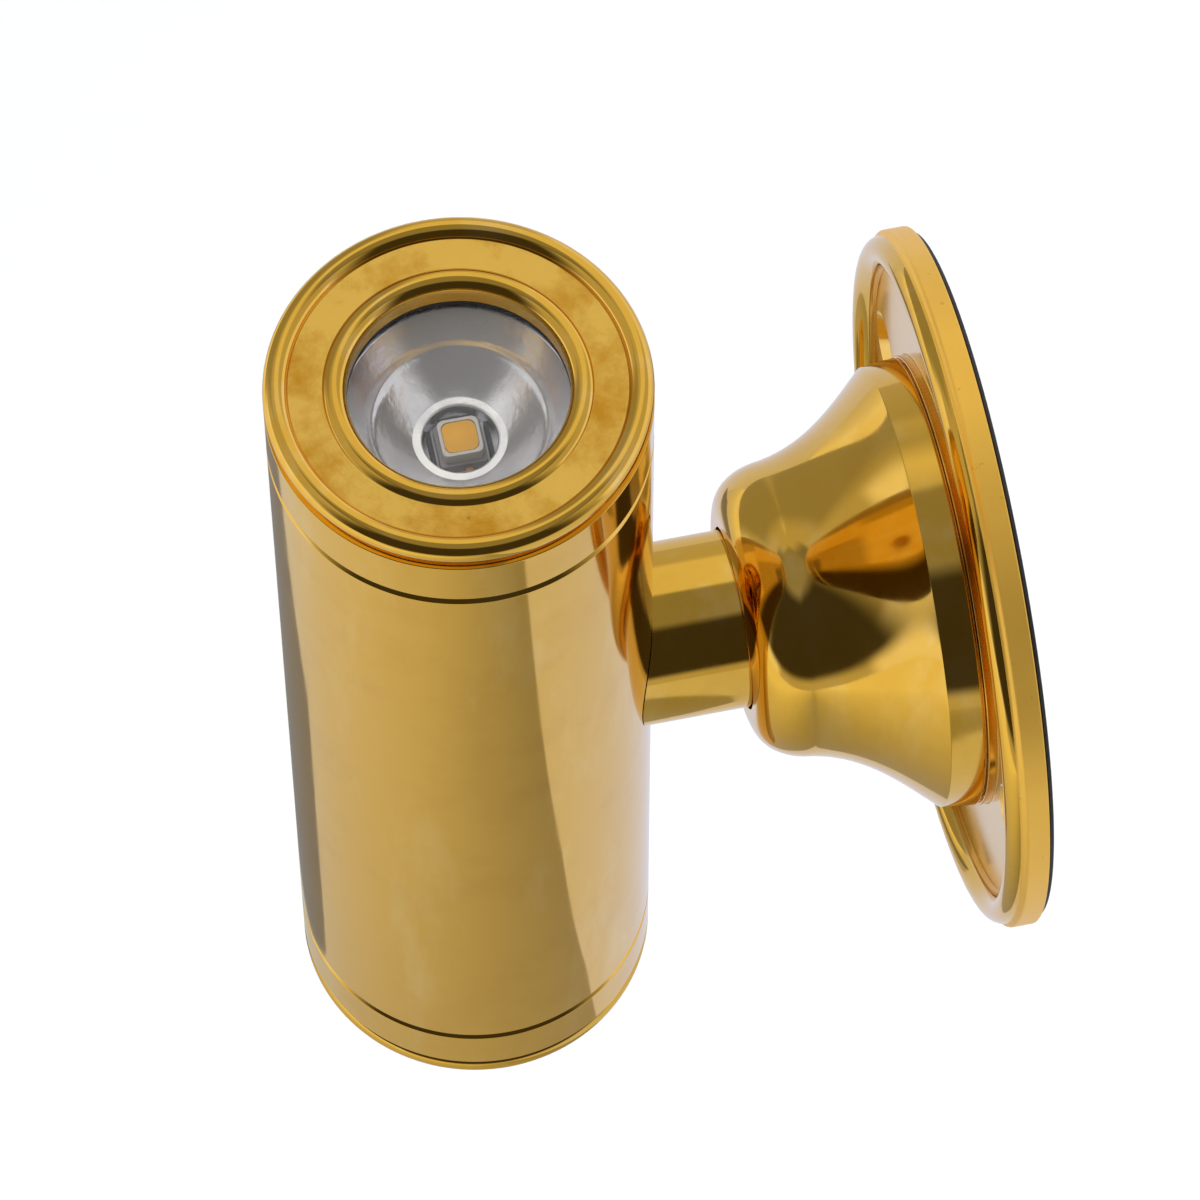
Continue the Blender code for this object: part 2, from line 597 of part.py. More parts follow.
def lamp_inside(prefix, turn, mats, head):
    where = dict(turn=turn, parent=head)
    side = 1 if turn is UP else -1
    sink = turned(prefix + '_heat_sink', disc(SINK_R, SINK_LOW, SINK_TOP), mats['aluminium'], FINE, **where)
    tools = bmesh.new()
    add_turned(tools, disc(WIRE_HOLE_R, SINK_LOW - 1, SINK_TOP + 1), TINY, (WIRE_X, side * WIRE_Y, 0))
    add_turned(tools, disc(CHASSIS_SCREW_R + GAP, SINK_LOW - 1, CHASSIS_SCREW_TOP + 2 * GAP), TINY,
               (0, side * CHASSIS_SCREW_Y, 0))
    for y in (-BOARD_SCREW_Y, BOARD_SCREW_Y):
        add_turned(tools, disc(BOARD_HOLE_R, BOARD_SCREW_LOW - 0.5, SINK_TOP + 1), TINY, (0, y, 0))
    cut(sink, prefix + '_sink_holes', tools)
    board = turned(prefix + '_led_board', disc(BOARD_R, BOARD_LOW, BOARD_TOP), mats['board'], SMALL, **where)
    tools = bmesh.new()
    for y in (-BOARD_SCREW_Y, BOARD_SCREW_Y):
        add_turned(tools, disc(BOARD_HOLE_R, BOARD_LOW - 1, BOARD_TOP + 1), TINY, (0, y, 0))
    cut(board, prefix + '_board_holes', tools)
    head_low = BOARD_TOP + 0.2
    screw = [(0, BOARD_SCREW_LOW), (BOARD_SCREW_R, BOARD_SCREW_LOW), (BOARD_SCREW_R, head_low),
             (BOARD_SCREW_HEAD_R, head_low), (BOARD_SCREW_HEAD_R, BOARD_SCREW_TOP), (0, BOARD_SCREW_TOP)]
    for name, y in (('front', -BOARD_SCREW_Y), ('rear', BOARD_SCREW_Y)):
        turned(f'{prefix}_board_screw_{name}', screw, mats['steel'], TINY, place=(0, y, 0), **where)
    bm = bmesh.new()
    add_prism(bm, rectangle(LED_SIDE, LED_SIDE), LED_LOW, LED_TOP)
    package = node(prefix + '_led_package', bm, mats['led_white'], **where)
    pocket = bmesh.new()
    pocket_side = PHOSPHOR_SIDE + GAP
    add_prism(pocket, rectangle(pocket_side, pocket_side), LED_TOP - LED_POCKET_DEPTH, LED_TOP + 1)
    cut(package, prefix + '_led_pocket', pocket)
    bm = bmesh.new()
    add_prism(bm, rectangle(PHOSPHOR_SIDE, PHOSPHOR_SIDE), LED_TOP - PHOSPHOR_T, LED_TOP)
    node(prefix + '_led_phosphor', bm, mats['phosphor'], **where)
    turned(prefix + '_reflector', reflector_outline(), mats['reflector'], SMALL, **where)
    for name, x in (('red', WIRE_X - WIRE_APART / 2), ('black', WIRE_X + WIRE_APART / 2)):
        turned(f'{prefix}_{name}_lead', disc(WIRE_R, WIRE_LOW, WIRE_TOP), mats[name + '_lead'], TINY,
               place=(x, WIRE_Y, 0), **where)


def bezel_outline():
    """Skirt with an O-ring groove, band, undercut, round rim, sunken floor, ring round the window, bore."""
    rim_end = 180 - math.degrees(math.asin((FLOOR_H - RIM_H) / RIM_MINOR))
    crest_start = math.degrees(math.asin((FLOOR_H - RING_H) / RING_MINOR))
    rim = arc(RIM_R, RIM_H, RIM_MINOR, -68, rim_end, 7)
    crest = arc(RING_R, RING_H, RING_MINOR, crest_start, 156, 4)
    seam = SEAM_H + GAP / 2
    skirt = [(SKIRT_R, SKIRT_LOW), (SKIRT_R, O_RING_GROOVE_LOW), (O_RING_GROOVE_R, O_RING_GROOVE_LOW),
             (O_RING_GROOVE_R, O_RING_GROOVE_TOP), (SKIRT_R, O_RING_GROOVE_TOP), (SKIRT_R, seam)]
    band = [(BODY_R - GROOVE_DEPTH, seam), (BODY_R, seam + GROOVE_DEPTH), (BODY_R, UNDERCUT_H),
            (UNDERCUT_R, UNDERCUT_H)]
    bore = [(WINDOW_R, WINDOW_TOP), (WINDOW_R, LIP_LOW), (POCKET_R, LIP_LOW), (POCKET_R, POCKET_LOW),
            (SKIRT_BORE_R, BAND_BORE_LOW), (SKIRT_BORE_R, SKIRT_LOW)]
    return skirt + band + rim + crest + bore


def lamp_front(prefix, turn, mats, head):
    lift = empty(prefix + '_bezel_lift', (0, 0, 0), head)
    spin = empty(prefix + '_bezel_turn', (0, 0, 0), lift)
    turned(prefix + '_lens', disc(LENS_R, LENS_LOW, LENS_TOP), mats['glass'], FINE, turn=turn, parent=lift)
    turned(prefix + '_lens_seal', ring(WINDOW_R, LENS_R, LENS_SEAL_LOW, LENS_SEAL_TOP), mats['rubber'], FINE,
           turn=turn, parent=lift)
    turned(prefix + '_lens_clip', ring(CLIP_BORE_R, LENS_R, CLIP_LOW, CLIP_TOP), mats['steel'], SMALL,
           turn=turn, parent=lift)
    turned(prefix + '_bezel', bezel_outline(), mats['brass'], FINE, turn=turn, parent=spin)
    turned(prefix + '_bezel_oring', arc(O_RING_R, O_RING_H, O_RING_MINOR, 30, 330, 5), mats['rubber'], SMALL,
           turn=turn, parent=spin)


def build():
    clear_scene()
    mats = {
        'brass': material('polished_brass', (0.72, 0.50, 0.20), 0.08, 1.0),
        'brass_plain': material('turned_brass', (0.66, 0.48, 0.22), 0.25, 1.0),
        'bronze': material('bronze', (0.55, 0.33, 0.16), 0.35, 1.0),
        'steel': material('zinc_steel', (0.62, 0.63, 0.65), 0.3, 1.0),
        'aluminium': material('aluminium', (0.78, 0.79, 0.80), 0.35, 1.0),
        'reflector': material('aluminised', (0.86, 0.86, 0.85), 0.12, 1.0),
        'rubber': material('black_rubber', (0.03, 0.03, 0.03), 0.7, 0.0),
        'nylon': material('white_nylon', (0.82, 0.81, 0.77), 0.45, 0.0),
        'black_case': material('driver_case', (0.05, 0.05, 0.055), 0.5, 0.0),
        'board': material('white_board', (0.72, 0.73, 0.72), 0.4, 0.0),
        'led_white': material('led_body', (0.88, 0.87, 0.82), 0.4, 0.0),
        'phosphor': material('phosphor', (0.90, 0.55, 0.08), 0.5, 0.0),
        'glass': material('clear_glass', (0.95, 0.96, 0.96), 0.03, 0.0, 0.15),
        'cable': material('cable_sheath', (0.85, 0.85, 0.83), 0.5, 0.0),
        'red_lead': material('red_lead', (0.70, 0.08, 0.05), 0.5, 0.0),
        'black_lead': material('black_lead', (0.03, 0.03, 0.03), 0.5, 0.0),
    }
    wall_pad(mats)
    back_plate(mats)
    cable_grommet(mats)
    wall_cup(mats)
    cup_screws(mats)
    stop_pin(mats)
    swivel_bush(mats)
    neck_seal(mats)
    terminal_block(mats)
    head = empty('swivel_head', (0, -BODY_OUT, 0))
    arm_tube(mats, head)
    swivel_hardware(mats, head)
    arm_fixing(mats, head)
    body_tube(mats, head)
    supply_lead(mats, head)
    driver(mats, head)
    for prefix, turn in (('upper', UP), ('lower', DOWN)):
        lamp_inside(prefix, turn, mats, head)
        lamp_front(prefix, turn, mats, head)


build()
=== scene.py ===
"""Looks of the polished brass up-and-down wall light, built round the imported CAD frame.

Sizes are in millimetres and turned into metres when a mesh is made. Turned pieces are drawn as
closed (radius, height) outlines. Heights run away from the wall for the wall pieces and the arm,
and away from the tube's middle for the lamp pieces.
"""
import json
import math

import bmesh
import bpy
from mathutils import Matrix, Vector


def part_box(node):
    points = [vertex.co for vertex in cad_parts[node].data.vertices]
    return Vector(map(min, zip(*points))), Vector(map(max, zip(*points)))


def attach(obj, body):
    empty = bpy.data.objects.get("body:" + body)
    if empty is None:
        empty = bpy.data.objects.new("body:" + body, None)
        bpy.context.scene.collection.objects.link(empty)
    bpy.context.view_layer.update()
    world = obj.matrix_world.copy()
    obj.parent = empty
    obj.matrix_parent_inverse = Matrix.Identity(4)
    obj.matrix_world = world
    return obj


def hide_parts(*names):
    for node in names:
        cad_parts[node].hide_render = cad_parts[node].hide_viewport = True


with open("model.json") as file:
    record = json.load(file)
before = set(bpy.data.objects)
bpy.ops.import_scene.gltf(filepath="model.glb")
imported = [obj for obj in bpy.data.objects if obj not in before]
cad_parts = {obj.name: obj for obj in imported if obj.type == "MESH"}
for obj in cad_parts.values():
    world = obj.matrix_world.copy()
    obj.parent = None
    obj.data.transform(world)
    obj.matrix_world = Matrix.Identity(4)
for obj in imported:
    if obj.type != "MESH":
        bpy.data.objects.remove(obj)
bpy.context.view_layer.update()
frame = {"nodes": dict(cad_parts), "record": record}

MM = 0.001

# ---------------------------------------------------------------- sizes

TUBE_LOW, TUBE_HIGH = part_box("body_tube")
PLATE_LOW, PLATE_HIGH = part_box("back_plate")
CUP_LOW, CUP_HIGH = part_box("wall_cup")
ARM_LOW, ARM_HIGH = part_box("arm_tube")
GROMMET_LOW, GROMMET_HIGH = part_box("cable_grommet")
BODY_R = (TUBE_HIGH[0] - TUBE_LOW[0]) / 2 / MM
BODY_OUT = -(TUBE_HIGH[1] + TUBE_LOW[1]) / 2 / MM
TUBE_END = TUBE_HIGH[2] / MM
PLATE_R = (PLATE_HIGH[0] - PLATE_LOW[0]) / 2 / MM
PLATE_BACK = -PLATE_HIGH[1] / MM
CUP_RIM_R = (CUP_HIGH[0] - CUP_LOW[0]) / 2 / MM
CUP_RIM_D = -CUP_HIGH[1] / MM
CUP_FRONT = -CUP_LOW[1] / MM
ARM_R = (ARM_HIGH[0] - ARM_LOW[0]) / 2 / MM
ARM_BACK = -ARM_HIGH[1] / MM

GAP = 0.3                    # clearance between neighbouring pieces
GROOVE = 0.42                # half width and depth of the V groove at each seam
PLATE_FLOOR = 2.95           # height of the plate's sunken face
BAND_TOP = 3.25              # top of the plate's outer edge
BEAD_R, BEAD_D, BEAD_MINOR = 36.7, 3.35, 1.7          # round bead inside that edge
FIXING_X, FIXING_HOLE_R, COUNTERSINK_R = 30.15, 2.25, 4.0
CABLE_HOLE_Z, CABLE_HOLE_R = -10.5, 5.3
CUP_SCREW_CIRCLE, CUP_SCREW_ANGLES = 20.3, (90, 210, 330)
LIP_R = 10.15                # hole in the cup's front, round the arm
ARM_BORE_R, ARM_END_BORE_R = 7.5, 5.3
RIM_R, RIM_H, RIM_MINOR = 18.68, 62.0, 1.32           # bezel's rounded outer rim
RING_R, RING_H, RING_MINOR = 12.78, 61.52, 1.38       # rounded ring at its window
WINDOW_R = 11.52
FLOOR_H = 62.35              # sunken face between the rim and the ring
LENS_LOW, LENS_TOP, LENS_R = 57.8, 58.85, 12.8
SEAL_LOW, SEAL_TOP = 59.0, 59.55
COLLAR_H, NECK_R, COLLAR_R, BELL_R, BELL_TOP = 51.4, 3.9, 4.9, 11.95, 57.5
BOARD_TOP = 48.8
LED_LOW, LED_STEP, LED_TOP, LED_SIDE = 49.0, 50.3, 51.9, 5.0
LED_DAM_SIDE, PHOSPHOR_SIDE = 4.3, 3.5

FINE = 256                   # sides of the large round pieces
MEDIUM = 128                 # sides of the smaller ones
ON_AXIS = 1e-6               # a radius below this is a point on the axis
SHARP_ANGLE = 35.0           # edges that turn by more than this are shaded sharp
FLAT_FACE = 0.9999           # cut faces that look this nearly along the Y axis are shaded flat
CORNER_SHARE = 0.45          # most of a side that one rounded corner may use

WALL = Matrix.Rotation(math.radians(90), 4, "X")      # local +Z points away from the wall
UP = Matrix.Translation((0, -BODY_OUT * MM, 0))
DOWN = UP @ Matrix.Rotation(math.radians(180), 4, "X")


# ---------------------------------------------------------------- drawing

def arc(centre_r, centre_h, radius, start, end, steps):
    points = []
    for i in range(steps + 1):
        a = math.radians(start + (end - start) * i / steps)
        points.append((centre_r + radius * math.cos(a), centre_h + radius * math.sin(a)))
    return points


def bezier(p0, p1, p2, p3, steps):
    points = []
    for i in range(steps + 1):
        t = i / steps
        weights = ((1 - t) ** 3, 3 * t * (1 - t) ** 2, 3 * t * t * (1 - t), t ** 3)
        pairs = list(zip(weights, (p0, p1, p2, p3)))
        points.append(tuple(sum(w * p[k] for w, p in pairs) for k in (0, 1)))
    return points


def rounded_corners(points, radius, steps=5, corner=22):
    """Round each corner of a closed outline that turns by more than the corner angle."""
    result = []
    for i, here in enumerate(points):
        p = Vector(here)
        back = Vector(points[i - 1]) - p
        ahead = Vector(points[(i + 1) % len(points)]) - p
        turn = 180 - math.degrees(back.angle(ahead))
        if turn < corner or here[0] < ON_AXIS:
            result.append(here)
            continue
        reach = radius * math.tan(math.radians(turn) / 2)
        reach = min(reach, back.length * CORNER_SHARE, ahead.length * CORNER_SHARE)
        start = p + back.normalized() * reach
        end = p + ahead.normalized() * reach
        for k in range(steps + 1):
            t = k / steps
            q = start * (1 - t) ** 2 + p * 2 * t * (1 - t) + end * t ** 2
            result.append((q.x, q.y))
    return result


def supported(points, longest=0.7, inset=0.05):
    """Put a point close to both ends of each long straight, so that its shading stays straight."""
    result = []
    for i, here in enumerate(points):
        result.append(here)
        p = Vector(here)
        step = Vector(points[(i + 1) % len(points)]) - p
        if step.length > longest:
            for share in (inset / step.length, 1 - inset / step.length):
                q = p + step * share
                result.append((q.x, q.y))
    return result


def add_turned(bm, outline, segments, place=Matrix.Identity(4)):
    """Turn a closed (radius, height) outline round the local Z axis."""
    rings = []
    for radius, height in outline:
        count = 1 if radius < ON_AXIS else segments
        ring = []
        for i in range(count):
            a = 2 * math.pi * i / segments
            point = Vector((radius * math.cos(a), radius * math.sin(a), height)) * MM
            ring.append(bm.verts.new(place @ point))
        rings.append(ring)
    for lower, upper in zip(rings, rings[1:] + rings[:1]):
        if len(lower) == 1 and len(upper) == 1:
            continue
        for i in range(segments):
            j = (i + 1) % segments
            corners = [lower[i % len(lower)], lower[j % len(lower)],
                       upper[j % len(upper)], upper[i % len(upper)]]
            bm.faces.new(list(dict.fromkeys(corners)))


def add_prism(bm, outline, low, high, place, edge=0.0):
    """A straight prism on a closed (x, y) outline, with its top edge rounded."""
    bottom = [bm.verts.new(place @ (Vector((x, y, low)) * MM)) for x, y in outline]
    top = [bm.verts.new(place @ (Vector((x, y, high)) * MM)) for x, y in outline]
    bm.faces.new(bottom)
    bm.faces.new(top)
    for i in range(len(outline)):
        j = (i + 1) % len(outline)
        bm.faces.new((bottom[i], bottom[j], top[j], top[i]))
    if edge:
        rim = [e for e in bm.edges if e.verts[0] in top and e.verts[1] in top]
        bmesh.ops.bevel(bm, geom=rim, offset=edge * MM, segments=3, affect="EDGES", profile=0.5)


def rounded_square(side, radius, steps=6, centre=(0, 0)):
    half = side / 2 - radius
    points = []
    for quarter, (sx, sy) in enumerate(((1, 1), (-1, 1), (-1, -1), (1, -1))):
        points += arc(centre[0] + sx * half, centre[1] + sy * half, radius, 90 * quarter,
                      90 * quarter + 90, steps)
    return points


def finish_mesh(name, bm, mat):
    bmesh.ops.recalc_face_normals(bm, faces=bm.faces)
    mesh = bpy.data.meshes.new(name)
    bm.to_mesh(mesh)
    bm.free()
    mesh.shade_smooth()
    mesh.set_sharp_from_angle(angle=math.radians(SHARP_ANGLE))
    obj = bpy.data.objects.new(name, mesh)
    bpy.context.scene.collection.objects.link(obj)
    if mat:
        obj.data.materials.append(mat)
    return obj


def turned(name, outline, mat, place, radius=0.15, segments=FINE):
    bm = bmesh.new()
    add_turned(bm, supported(rounded_corners(outline, radius)), segments, place)
    return finish_mesh(name, bm, mat)


def carve(target, tools):
    """Cut a bmesh out of a piece, keep the result as its mesh and shade its flat faces flat."""
    cutter = finish_mesh(target.name + "_cutter", tools, None)
    modifier = target.modifiers.new("carve", "BOOLEAN")
    modifier.object = cutter
    modifier.solver = "EXACT"
    bpy.context.view_layer.update()
    cut = target.evaluated_get(bpy.context.evaluated_depsgraph_get())
    carved = bpy.data.meshes.new_from_object(cut)
    target.modifiers.remove(modifier)
    target.data = carved
    carved.set_sharp_from_angle(angle=math.radians(SHARP_ANGLE))
    for face in carved.polygons:
        if abs(face.normal.y) > FLAT_FACE:
            face.use_smooth = False
    bpy.data.objects.remove(cutter)


def stand_in(piece, body, slot, *nodes):
    """Let a piece ride a body and take the place of CAD nodes."""
    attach(piece, body)
    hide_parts(*nodes)


# ---------------------------------------------------------------- materials

class Shader:
    """A Principled material and short ways to add nodes to it."""

    def __init__(self, name, roughness, metallic=0.0):
        self.material = bpy.data.materials.new(name)
        self.material.use_nodes = True
        self.tree = self.material.node_tree
        self.principled = self.tree.nodes["Principled BSDF"]
        self.principled.inputs["Roughness"].default_value = roughness
        self.principled.inputs["Metallic"].default_value = metallic
        self.coords = self.add("ShaderNodeTexCoord").outputs["Object"]
        self.last_normal = None

    def add(self, kind, **values):
        node = self.tree.nodes.new(kind)
        for key, value in values.items():
            setattr(node, key, value)
        return node

    def link(self, source, node, socket):
        self.tree.links.new(source, node.inputs[socket])

    def noise(self, scale, detail=4.0, roughness=0.55, vector=None):
        node = self.add("ShaderNodeTexNoise")
        node.inputs["Scale"].default_value = scale
        node.inputs["Detail"].default_value = detail
        node.inputs["Roughness"].default_value = roughness
        self.link(vector or self.coords, node, "Vector")
        return node.outputs["Fac"]

    def moved(self, location=(0, 0, 0), scale=(1, 1, 1)):
        node = self.add("ShaderNodeMapping")
        node.inputs["Location"].default_value = location
        node.inputs["Scale"].default_value = scale
        self.link(self.coords, node, "Vector")
        return node.outputs["Vector"]

    def mapped(self, value, low, high, to_low, to_high):
        node = self.add("ShaderNodeMapRange")
        ends = (("From Min", low), ("From Max", high), ("To Min", to_low), ("To Max", to_high))
        for socket, number in ends:
            node.inputs[socket].default_value = number
        self.link(value, node, "Value")
        return node.outputs["Result"]

    def mixed(self, factor, a, b):
        node = self.add("ShaderNodeMix", data_type="RGBA")
        self.link(factor, node, "Factor")
        for socket, colour in (("A", a), ("B", b)):
            if isinstance(colour, tuple):
                node.inputs[socket].default_value = (*colour, 1)
            else:
                self.link(colour, node, socket)
        return node.outputs["Result"]

    def bump(self, height, strength, distance):
        node = self.add("ShaderNodeBump")
        node.inputs["Strength"].default_value = strength
        node.inputs["Distance"].default_value = distance
        self.link(height, node, "Height")
        if self.last_normal:
            self.link(self.last_normal, node, "Normal")
        self.last_normal = node.outputs["Normal"]
        self.link(self.last_normal, self.principled, "Normal")


# Noise scales count cells per metre; bump distances are in metres.

GOLD = (0.80, 0.475, 0.07)
TARNISH = (0.68, 0.36, 0.045)
MILKY = (0.88, 0.62, 0.22)
SUNKEN_GOLD, SUNKEN_TARNISH, PIT = (0.80, 0.50, 0.10), (0.62, 0.28, 0.015), (0.34, 0.16, 0.03)
EDGE_LIGHT, EDGE_DEEP, SPECK = (0.92, 0.54, 0.08), (0.85, 0.46, 0.055), (0.45, 0.24, 0.05)
SILVER, SILVER_HAZE = (1.0, 1.0, 1.0), (0.86, 0.86, 0.90)
CLEAN_GLASS, SMEARED_GLASS = (0.93, 0.95, 0.95), (0.85, 0.87, 0.88)
PAPER, PAPER_LIGHT = (0.91, 0.92, 0.93), (0.925, 0.935, 0.945)
GLASS_ALPHA = 0.03


def polished_brass(name, low, high):
    """Buffed brass: slight waves from the buffing wheel, cloudy haze, streaks and wipe marks."""
    shader = Shader(name, low, 1.0)
    clouds = shader.noise(95, 6, 0.6)
    base = shader.mixed(shader.mapped(clouds, 0.50, 0.80, 0.0, 0.5), GOLD, TARNISH)
    streaks = shader.noise(130, 5, 0.6, shader.moved(scale=(1, 1, 0.22)))
    milk = shader.mapped(streaks, 0.54, 0.76, 0.0, 0.6)
    shader.link(shader.mixed(milk, base, MILKY), shader.principled, "Base Color")
    wipes = shader.noise(420, 3, 0.5, shader.moved(scale=(1, 1, 0.18)))
    shader.link(shader.mapped(wipes, 0.3, 0.75, low, high), shader.principled, "Roughness")
    shader.bump(shader.noise(60, 2, 0.4), 0.25, 0.00012)
    return shader.material


def sunken_brass(name):
    """The bezel's sunken floor: faint turning rings, soft blotches of tarnish and a few pits."""
    shader = Shader(name, 0.2, 1.0)
    blotches = shader.noise(85, 7, 0.66)
    tarnish = shader.mapped(blotches, 0.46, 0.62, 0.0, 0.85)
    tint = shader.mixed(tarnish, SUNKEN_GOLD, SUNKEN_TARNISH)
    cells = shader.add("ShaderNodeTexVoronoi", feature="F1")
    cells.inputs["Scale"].default_value = 420
    shader.link(shader.coords, cells, "Vector")
    pits = shader.mapped(cells.outputs["Distance"], 0.05, 0.11, 0.55, 0.0)
    shader.link(shader.mixed(pits, tint, PIT), shader.principled, "Base Color")
    rings = shader.add("ShaderNodeTexWave", wave_type="RINGS", rings_direction="Z")
    rings.inputs["Scale"].default_value = 700
    rings.inputs["Distortion"].default_value = 2.0
    shader.link(shader.moved((0, BODY_OUT * MM, 0)), rings, "Vector")
    shader.link(shader.mapped(blotches, 0.35, 0.75, 0.16, 0.30), shader.principled, "Roughness")
    shader.bump(rings.outputs["Fac"], 0.05, 0.00002)
    shader.bump(shader.noise(700, 3), 0.12, 0.00003)
    return shader.material


def satin_brass(name):
    """The plate's outer edge, less buffed, with a few faint specks."""
    shader = Shader(name, 0.38, 0.7)
    specks = shader.mapped(shader.noise(900, 2), 0.70, 0.76, 0.0, 0.4)
    clouds = shader.mapped(shader.noise(60, 3), 0.45, 0.8, 0.0, 0.35)
    base = shader.mixed(clouds, EDGE_LIGHT, EDGE_DEEP)
    shader.link(shader.mixed(specks, base, SPECK), shader.principled, "Base Color")
    gloss = shader.mapped(shader.noise(200, 3), 0.3, 0.75, 0.38, 0.46)
    shader.link(gloss, shader.principled, "Roughness")
    shader.bump(shader.noise(1500, 2, 0.5, shader.moved(scale=(0.2, 3, 0.2))), 0.08, 0.00002)
    return shader.material


def dull_brass(name):
    """The plate's flat floor: brass that a buffing wheel reaches less, so it mirrors softly."""
    shader = Shader(name, 0.15, 1.0)
    clouds = shader.noise(120, 5)
    tint = shader.mixed(shader.mapped(clouds, 0.4, 0.7, 0.0, 0.6), GOLD, MILKY)
    shader.link(tint, shader.principled, "Base Color")
    shader.link(shader.mapped(clouds, 0.3, 0.75, 0.11, 0.19), shader.principled, "Roughness")
    shader.bump(shader.noise(700, 3), 0.12, 0.00002)
    return shader.material


def grained(name, colour, roughness, metallic=0.0, grain=600.0, vary=0.12, depth=0.00004):
    """A moulded, plated or machined surface with a fine grain in colour, gloss and height."""
    shader = Shader(name, roughness, metallic)
    dark = tuple(c * (1 - vary) for c in colour)
    light = tuple(min(1.0, c * (1 + vary)) for c in colour)
    clouds = shader.noise(grain * 0.25, 5)
    tint = shader.mixed(shader.mapped(clouds, 0.3, 0.7, 0, 1), dark, light)
    shader.link(tint, shader.principled, "Base Color")
    gloss = shader.mapped(clouds, 0.3, 0.7, roughness * 0.8, roughness * 1.25)
    shader.link(gloss, shader.principled, "Roughness")
    shader.bump(shader.noise(grain, 4), 0.3, depth)
    return shader.material


def aluminised(name):
    """Bright reflector metal, finely hammered by the mould it was pressed in."""
    shader = Shader(name, 0.18, 0.85)
    clouds = shader.noise(260, 4)
    tint = shader.mixed(shader.mapped(clouds, 0.35, 0.7, 0, 1), SILVER, SILVER_HAZE)
    shader.link(tint, shader.principled, "Base Color")
    shader.link(shader.mapped(clouds, 0.3, 0.75, 0.13, 0.24), shader.principled, "Roughness")
    shader.bump(shader.noise(260, 2, 0.4), 0.4, 0.00012)
    shader.bump(shader.noise(1300, 3, 0.6), 0.6, 0.00005)
    return shader.material


def clear_glass(name):
    """Nearly clear glass with faint smears."""
    shader = Shader(name, 0.02)
    shader.principled.inputs["Alpha"].default_value = GLASS_ALPHA
    smears = shader.noise(160, 5)
    tint = shader.mixed(shader.mapped(smears, 0.4, 0.8, 0, 1), CLEAN_GLASS, SMEARED_GLASS)
    shader.link(tint, shader.principled, "Base Color")
    return shader.material


MATERIALS = {
    "polished_brass": polished_brass("polished_brass", 0.05, 0.11),
    "turned_brass": grained("turned_brass", (0.66, 0.44, 0.16), 0.25, 1.0),
    "bronze": grained("bronze", (0.55, 0.33, 0.16), 0.35, 1.0),
    "zinc_steel": grained("zinc_steel", (0.62, 0.63, 0.65), 0.28, 1.0),
    "aluminium": grained("aluminium", (0.78, 0.79, 0.80), 0.35, 1.0),
    "reflector": aluminised("reflector"),
    "rubber": grained("rubber", (0.025, 0.025, 0.027), 0.6),
    "nylon": grained("nylon", (0.82, 0.81, 0.77), 0.45),
    "driver_case": grained("driver_case", (0.05, 0.05, 0.055), 0.5),
    "led_board": grained("led_board", (0.85, 0.85, 0.88), 0.4, 0.2, vary=0.06),
    "led_body": grained("led_body", (0.17, 0.16, 0.16), 0.4, vary=0.08),
    "phosphor": grained("phosphor", (0.60, 0.29, 0.006), 0.55, grain=2500.0, vary=0.08),
    "clear_glass": clear_glass("clear_glass"),
    "cable_sheath": grained("cable_sheath", (0.85, 0.85, 0.83), 0.5),
    "red_lead": grained("red_lead", (0.70, 0.08, 0.05), 0.5),
    "black_lead": grained("black_lead", (0.03, 0.03, 0.03), 0.5),
}
BRASS = MATERIALS["polished_brass"]
SUNKEN = sunken_brass("sunken_brass")
SATIN = satin_brass("satin_brass")
DULL = dull_brass("dull_brass")
COPPER = grained("bare_copper", (0.62, 0.30, 0.18), 0.4, 1.0, grain=1500.0)
DAM = grained("led_dam", (0.44, 0.41, 0.37), 0.45, grain=1500.0, vary=0.06)


def dress_cad_nodes():
    """Give every CAD node the material of its slot in the record."""
    slots = {part["node"]: part["material_slot"] for part in frame["record"]["subparts"]}
    for node, obj in frame["nodes"].items():
        for slot in obj.material_slots:
            slot.material = MATERIALS[slots[node]]


def finish_faces(piece, place, mat, inside):
    """Give another finish to the faces whose (radius, height) is inside a region."""
    piece.data.materials.append(mat)
    back = place.inverted()
    for face in piece.data.polygons:
        centre = back @ face.center / MM
        if inside(math.hypot(centre.x, centre.y), centre.z):
            face.material_index = len(piece.data.materials) - 1


# ---------------------------------------------------------------- wall side

def on_wall(x, z):
    return Matrix.Translation((x * MM, 0, z * MM)) @ WALL


def on_circle(radius, angle):
    a = math.radians(angle)
    return radius * math.cos(a), radius * math.sin(a)


def plate_outline(well_r, spigot_d):
    """Edge band, bead, sunken face, then the seat, step and spigot that the cup stands on."""
    seat_r, seat_d = 25.05, 4.05
    step_r, step_d = 24.3, 4.3
    spigot_r = 23.2
    bead_edge = BEAD_R + BEAD_MINOR
    band_corner = (PLATE_R, BAND_TOP - 0.35)
    bead_start = (BEAD_R + BEAD_MINOR * 0.99, BEAD_D + 0.25)
    outline = [(0, PLATE_BACK), (PLATE_R, PLATE_BACK), band_corner]
    before_bead = (bead_edge + 0.06, BAND_TOP + 0.05)
    outline += bezier(band_corner, (PLATE_R, BAND_TOP), before_bead, bead_start, 8)[1:]
    outline += arc(BEAD_R, BEAD_D, BEAD_MINOR, 12, 194, 56)
    outline += [(seat_r, PLATE_FLOOR), (seat_r, seat_d), (step_r, seat_d), (step_r, step_d),
                (spigot_r, step_d), (spigot_r, spigot_d), (well_r, spigot_d), (well_r, PLATE_FLOOR),
                (0, PLATE_FLOOR)]
    return outline


